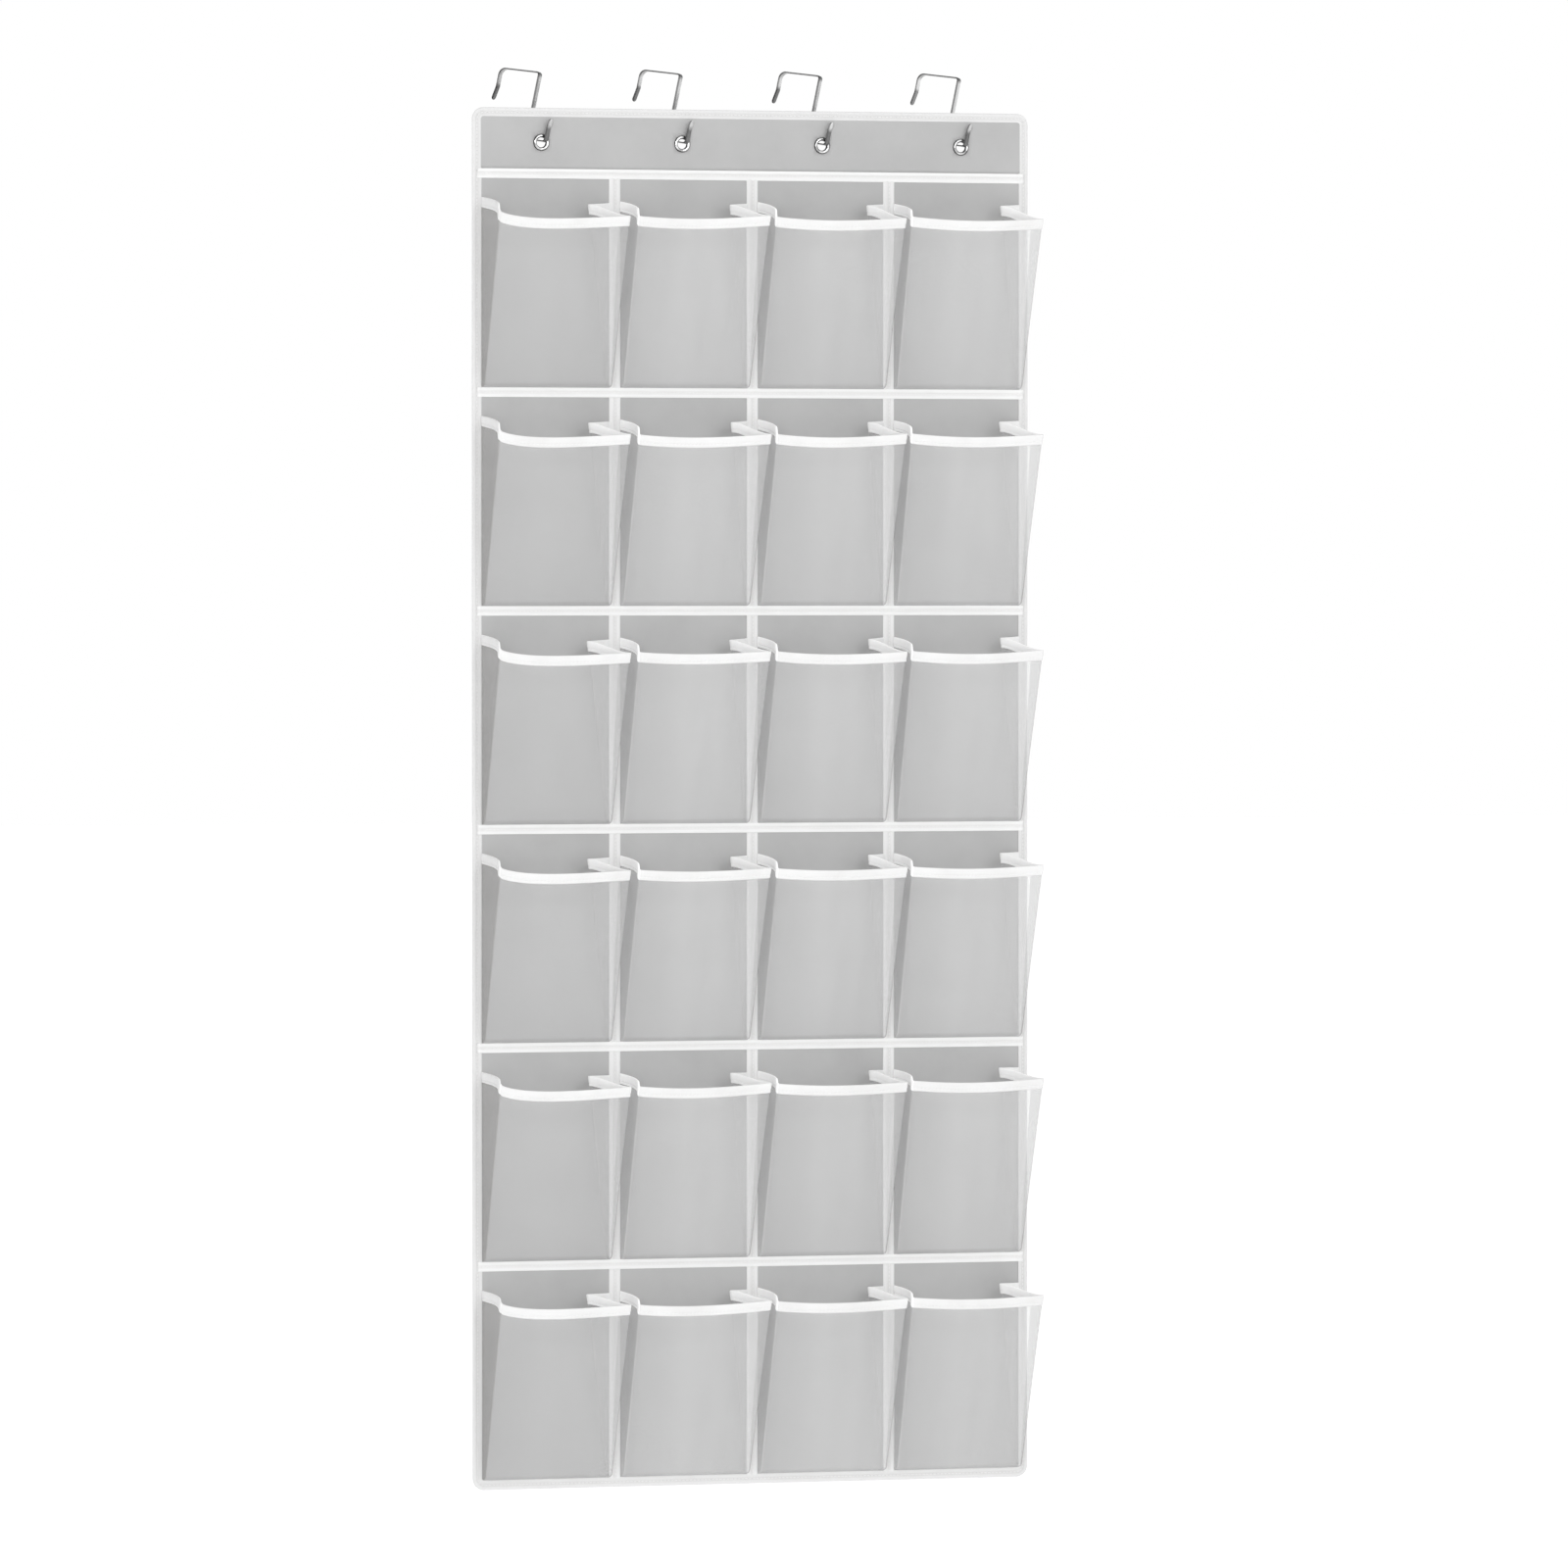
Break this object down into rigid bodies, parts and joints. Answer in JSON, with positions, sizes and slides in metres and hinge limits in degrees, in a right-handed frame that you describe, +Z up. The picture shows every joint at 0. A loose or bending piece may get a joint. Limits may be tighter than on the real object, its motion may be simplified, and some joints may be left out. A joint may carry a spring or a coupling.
{
  "type": "over-the-door shoe organizer",
  "caption": "Hanging cloth shoe organizer with rows of pleated see-through pockets, white bound edges, and steel hooks in grommets that go over a door's top edge.",
  "frame": {"origin": "the door's top front edge at mid-width: z = 0 is the top of a door under the seated hooks, y = 0 its front face, x = 0 the middle of the panel", "axes": "+Z up, -Y the side the pockets face, +Y into the door, +X to the right as seen from the front"},
  "size_m": [0.6, 0.1237, 1.4427],
  "materials": {
    "cloth": "light grey non-woven cloth, embossed, matt",
    "binding": "white woven binding tape, stitched",
    "pocket_mesh": "translucent pale grey fine mesh",
    "steel": "bright flat steel strip",
    "grommet": "polished nickel-plated steel"
  },
  "bodies": {
    "panel": {"back_cloth": "cloth", "header_band": "cloth", "border_binding": "binding", "row_tapes": "binding", "column_tapes": "binding", "grommet_eyelets": "grommet", "grommet_washers": "grommet"},
    "pocket_r1_c1": {"pocket_r1_c1": "pocket_mesh", "mouth_tape_r1_c1": "binding"},
    "pocket_r1_c2": {"pocket_r1_c2": "pocket_mesh", "mouth_tape_r1_c2": "binding"},
    "pocket_r1_c3": {"pocket_r1_c3": "pocket_mesh", "mouth_tape_r1_c3": "binding"},
    "pocket_r1_c4": {"pocket_r1_c4": "pocket_mesh", "mouth_tape_r1_c4": "binding"},
    "pocket_r2_c1": {"pocket_r2_c1": "pocket_mesh", "mouth_tape_r2_c1": "binding"},
    "pocket_r2_c2": {"pocket_r2_c2": "pocket_mesh", "mouth_tape_r2_c2": "binding"},
    "pocket_r2_c3": {"pocket_r2_c3": "pocket_mesh", "mouth_tape_r2_c3": "binding"},
    "pocket_r2_c4": {"pocket_r2_c4": "pocket_mesh", "mouth_tape_r2_c4": "binding"},
    "pocket_r3_c1": {"pocket_r3_c1": "pocket_mesh", "mouth_tape_r3_c1": "binding"},
    "pocket_r3_c2": {"pocket_r3_c2": "pocket_mesh", "mouth_tape_r3_c2": "binding"},
    "pocket_r3_c3": {"pocket_r3_c3": "pocket_mesh", "mouth_tape_r3_c3": "binding"},
    "pocket_r3_c4": {"pocket_r3_c4": "pocket_mesh", "mouth_tape_r3_c4": "binding"},
    "pocket_r4_c1": {"pocket_r4_c1": "pocket_mesh", "mouth_tape_r4_c1": "binding"},
    "pocket_r4_c2": {"pocket_r4_c2": "pocket_mesh", "mouth_tape_r4_c2": "binding"},
    "pocket_r4_c3": {"pocket_r4_c3": "pocket_mesh", "mouth_tape_r4_c3": "binding"},
    "pocket_r4_c4": {"pocket_r4_c4": "pocket_mesh", "mouth_tape_r4_c4": "binding"},
    "pocket_r5_c1": {"pocket_r5_c1": "pocket_mesh", "mouth_tape_r5_c1": "binding"},
    "pocket_r5_c2": {"pocket_r5_c2": "pocket_mesh", "mouth_tape_r5_c2": "binding"},
    "pocket_r5_c3": {"pocket_r5_c3": "pocket_mesh", "mouth_tape_r5_c3": "binding"},
    "pocket_r5_c4": {"pocket_r5_c4": "pocket_mesh", "mouth_tape_r5_c4": "binding"},
    "pocket_r6_c1": {"pocket_r6_c1": "pocket_mesh", "mouth_tape_r6_c1": "binding"},
    "pocket_r6_c2": {"pocket_r6_c2": "pocket_mesh", "mouth_tape_r6_c2": "binding"},
    "pocket_r6_c3": {"pocket_r6_c3": "pocket_mesh", "mouth_tape_r6_c3": "binding"},
    "pocket_r6_c4": {"pocket_r6_c4": "pocket_mesh", "mouth_tape_r6_c4": "binding"},
    "hook_1": {"hook_1": "steel"},
    "hook_2": {"hook_2": "steel"},
    "hook_3": {"hook_3": "steel"},
    "hook_4": {"hook_4": "steel"}
  },
  "joints": [
    {"name": "pocket_r1_c1_fold", "type": "hinge", "parent": "panel", "child": "pocket_r1_c1", "pos_m": [-0.222, -0.0196, -0.3178], "axis": [1, 0, 0], "range_deg": [-15, 0], "deforming": ["pocket_r1_c1", "mouth_tape_r1_c1"]},
    {"name": "pocket_r1_c2_fold", "type": "hinge", "parent": "panel", "child": "pocket_r1_c2", "pos_m": [-0.074, -0.0196, -0.3178], "axis": [1, 0, 0], "range_deg": [-15, 0], "deforming": ["pocket_r1_c2", "mouth_tape_r1_c2"]},
    {"name": "pocket_r1_c3_fold", "type": "hinge", "parent": "panel", "child": "pocket_r1_c3", "pos_m": [0.074, -0.0196, -0.3178], "axis": [1, 0, 0], "range_deg": [-15, 0], "deforming": ["pocket_r1_c3", "mouth_tape_r1_c3"]},
    {"name": "pocket_r1_c4_fold", "type": "hinge", "parent": "panel", "child": "pocket_r1_c4", "pos_m": [0.222, -0.0196, -0.3178], "axis": [1, 0, 0], "range_deg": [-15, 0], "deforming": ["pocket_r1_c4", "mouth_tape_r1_c4"]},
    {"name": "pocket_r2_c1_fold", "type": "hinge", "parent": "panel", "child": "pocket_r2_c1", "pos_m": [-0.222, -0.0196, -0.5392], "axis": [1, 0, 0], "range_deg": [-15, 0], "deforming": ["pocket_r2_c1", "mouth_tape_r2_c1"]},
    {"name": "pocket_r2_c2_fold", "type": "hinge", "parent": "panel", "child": "pocket_r2_c2", "pos_m": [-0.074, -0.0196, -0.5392], "axis": [1, 0, 0], "range_deg": [-15, 0], "deforming": ["pocket_r2_c2", "mouth_tape_r2_c2"]},
    {"name": "pocket_r2_c3_fold", "type": "hinge", "parent": "panel", "child": "pocket_r2_c3", "pos_m": [0.074, -0.0196, -0.5392], "axis": [1, 0, 0], "range_deg": [-15, 0], "deforming": ["pocket_r2_c3", "mouth_tape_r2_c3"]},
    {"name": "pocket_r2_c4_fold", "type": "hinge", "parent": "panel", "child": "pocket_r2_c4", "pos_m": [0.222, -0.0196, -0.5392], "axis": [1, 0, 0], "range_deg": [-15, 0], "deforming": ["pocket_r2_c4", "mouth_tape_r2_c4"]},
    {"name": "pocket_r3_c1_fold", "type": "hinge", "parent": "panel", "child": "pocket_r3_c1", "pos_m": [-0.222, -0.0196, -0.7606], "axis": [1, 0, 0], "range_deg": [-15, 0], "deforming": ["pocket_r3_c1", "mouth_tape_r3_c1"]},
    {"name": "pocket_r3_c2_fold", "type": "hinge", "parent": "panel", "child": "pocket_r3_c2", "pos_m": [-0.074, -0.0196, -0.7606], "axis": [1, 0, 0], "range_deg": [-15, 0], "deforming": ["pocket_r3_c2", "mouth_tape_r3_c2"]},
    {"name": "pocket_r3_c3_fold", "type": "hinge", "parent": "panel", "child": "pocket_r3_c3", "pos_m": [0.074, -0.0196, -0.7606], "axis": [1, 0, 0], "range_deg": [-15, 0], "deforming": ["pocket_r3_c3", "mouth_tape_r3_c3"]},
    {"name": "pocket_r3_c4_fold", "type": "hinge", "parent": "panel", "child": "pocket_r3_c4", "pos_m": [0.222, -0.0196, -0.7606], "axis": [1, 0, 0], "range_deg": [-15, 0], "deforming": ["pocket_r3_c4", "mouth_tape_r3_c4"]},
    {"name": "pocket_r4_c1_fold", "type": "hinge", "parent": "panel", "child": "pocket_r4_c1", "pos_m": [-0.222, -0.0196, -0.982], "axis": [1, 0, 0], "range_deg": [-15, 0], "deforming": ["pocket_r4_c1", "mouth_tape_r4_c1"]},
    {"name": "pocket_r4_c2_fold", "type": "hinge", "parent": "panel", "child": "pocket_r4_c2", "pos_m": [-0.074, -0.0196, -0.982], "axis": [1, 0, 0], "range_deg": [-15, 0], "deforming": ["pocket_r4_c2", "mouth_tape_r4_c2"]},
    {"name": "pocket_r4_c3_fold", "type": "hinge", "parent": "panel", "child": "pocket_r4_c3", "pos_m": [0.074, -0.0196, -0.982], "axis": [1, 0, 0], "range_deg": [-15, 0], "deforming": ["pocket_r4_c3", "mouth_tape_r4_c3"]},
    {"name": "pocket_r4_c4_fold", "type": "hinge", "parent": "panel", "child": "pocket_r4_c4", "pos_m": [0.222, -0.0196, -0.982], "axis": [1, 0, 0], "range_deg": [-15, 0], "deforming": ["pocket_r4_c4", "mouth_tape_r4_c4"]},
    {"name": "pocket_r5_c1_fold", "type": "hinge", "parent": "panel", "child": "pocket_r5_c1", "pos_m": [-0.222, -0.0196, -1.2034], "axis": [1, 0, 0], "range_deg": [-15, 0], "deforming": ["pocket_r5_c1", "mouth_tape_r5_c1"]},
    {"name": "pocket_r5_c2_fold", "type": "hinge", "parent": "panel", "child": "pocket_r5_c2", "pos_m": [-0.074, -0.0196, -1.2034], "axis": [1, 0, 0], "range_deg": [-15, 0], "deforming": ["pocket_r5_c2", "mouth_tape_r5_c2"]},
    {"name": "pocket_r5_c3_fold", "type": "hinge", "parent": "panel", "child": "pocket_r5_c3", "pos_m": [0.074, -0.0196, -1.2034], "axis": [1, 0, 0], "range_deg": [-15, 0], "deforming": ["pocket_r5_c3", "mouth_tape_r5_c3"]},
    {"name": "pocket_r5_c4_fold", "type": "hinge", "parent": "panel", "child": "pocket_r5_c4", "pos_m": [0.222, -0.0196, -1.2034], "axis": [1, 0, 0], "range_deg": [-15, 0], "deforming": ["pocket_r5_c4", "mouth_tape_r5_c4"]},
    {"name": "pocket_r6_c1_fold", "type": "hinge", "parent": "panel", "child": "pocket_r6_c1", "pos_m": [-0.222, -0.0196, -1.4248], "axis": [1, 0, 0], "range_deg": [-15, 0], "deforming": ["pocket_r6_c1", "mouth_tape_r6_c1"]},
    {"name": "pocket_r6_c2_fold", "type": "hinge", "parent": "panel", "child": "pocket_r6_c2", "pos_m": [-0.074, -0.0196, -1.4248], "axis": [1, 0, 0], "range_deg": [-15, 0], "deforming": ["pocket_r6_c2", "mouth_tape_r6_c2"]},
    {"name": "pocket_r6_c3_fold", "type": "hinge", "parent": "panel", "child": "pocket_r6_c3", "pos_m": [0.074, -0.0196, -1.4248], "axis": [1, 0, 0], "range_deg": [-15, 0], "deforming": ["pocket_r6_c3", "mouth_tape_r6_c3"]},
    {"name": "pocket_r6_c4_fold", "type": "hinge", "parent": "panel", "child": "pocket_r6_c4", "pos_m": [0.222, -0.0196, -1.4248], "axis": [1, 0, 0], "range_deg": [-15, 0], "deforming": ["pocket_r6_c4", "mouth_tape_r6_c4"]},
    {"name": "hook_1_swing", "type": "hinge", "parent": "panel", "child": "hook_1", "pos_m": [-0.2265, -0.0195, -0.07], "axis": [0.0986, 0.3328, 0.9378], "range_deg": [-35.06, 0]},
    {"name": "hook_2_swing", "type": "hinge", "parent": "panel", "child": "hook_2", "pos_m": [-0.0755, -0.0195, -0.07], "axis": [0.0986, 0.3328, 0.9378], "range_deg": [-35.06, 0]},
    {"name": "hook_3_swing", "type": "hinge", "parent": "panel", "child": "hook_3", "pos_m": [0.0755, -0.0195, -0.07], "axis": [0.0986, 0.3328, 0.9378], "range_deg": [-35.06, 0]},
    {"name": "hook_4_swing", "type": "hinge", "parent": "panel", "child": "hook_4", "pos_m": [0.2265, -0.0195, -0.07], "axis": [0.0986, 0.3328, 0.9378], "range_deg": [-35.06, 0]}
  ]
}
